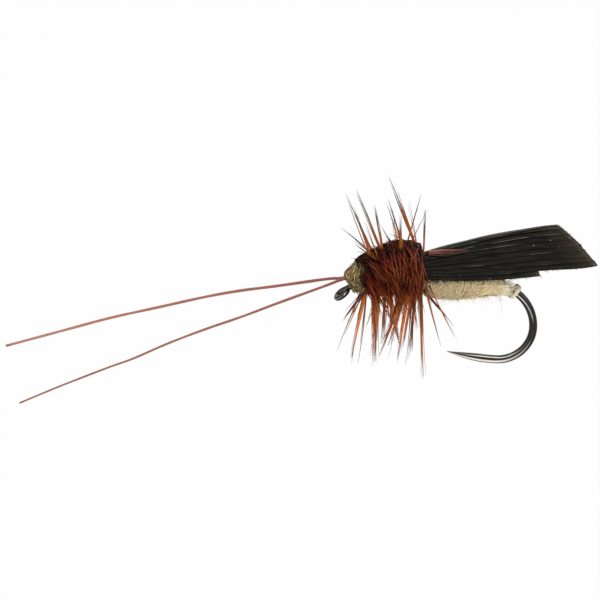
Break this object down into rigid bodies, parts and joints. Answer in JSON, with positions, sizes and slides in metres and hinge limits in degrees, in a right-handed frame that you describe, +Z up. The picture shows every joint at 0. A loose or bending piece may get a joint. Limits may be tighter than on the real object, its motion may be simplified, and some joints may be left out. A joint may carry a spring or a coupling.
{
  "type": "dry fly",
  "caption": "Caddis-style dry fly: barbless hook, dubbed body, black quill-slip wing folded like a tent, wound brown hackle and long quill antennae that flex.",
  "frame": {"origin": "centre of the hook's eye, where the leader is tied", "axes": "+X along the hook's shank from head to tail, +Z up, away from the hook's point, +Y to the fly's right"},
  "size_m": [0.0402, 0.0126, 0.0141],
  "materials": {
    "black_nickel": "polished black nickel",
    "thread": "waxed tying thread",
    "olive_dubbing": "sparkling dubbing, lightly varnished",
    "dark_dubbing": "matted fur",
    "cream_dubbing": "fuzzy fur",
    "pale_floss": "flat floss",
    "black_quill": "satin feather",
    "brown_hackle": "glossy feather barbs",
    "red_brown_quill": "stripped quill"
  },
  "bodies": {
    "dressed_hook": {"hook": "black_nickel", "thread_base": "thread", "whip_finish": "thread", "hackle_wraps": "thread", "wing_wraps": "thread", "head": "olive_dubbing", "thorax": "dark_dubbing", "abdomen": "cream_dubbing", "tag": "pale_floss", "wing_butt": "black_quill", "hackle": "brown_hackle", "antenna_butt_left": "red_brown_quill", "antenna_butt_right": "red_brown_quill"},
    "wing": {"wing": "black_quill", "swept_barbs": "brown_hackle"},
    "antenna_left": {"antenna_left": "red_brown_quill"},
    "antenna_right": {"antenna_right": "red_brown_quill"}
  },
  "joints": [
    {"name": "wing_lift", "type": "hinge", "parent": "dressed_hook", "child": "wing", "pos_m": [0.00557, 0, 0.00286], "axis": [0, -1, 0], "range_deg": [0, 25], "stiffness_Nm_per_rad": 0.0002},
    {"name": "antenna_left_flex", "type": "hinge", "parent": "dressed_hook", "child": "antenna_left", "pos_m": [-0.00012, -0.00017, 0.00101], "axis": [0, 1, 0], "range_deg": [-20, 30], "stiffness_Nm_per_rad": 0.00005},
    {"name": "antenna_right_flex", "type": "hinge", "parent": "dressed_hook", "child": "antenna_right", "pos_m": [-0.00012, 0.00017, 0.00101], "axis": [0, 1, 0], "range_deg": [-20, 30], "stiffness_Nm_per_rad": 0.00005}
  ]
}
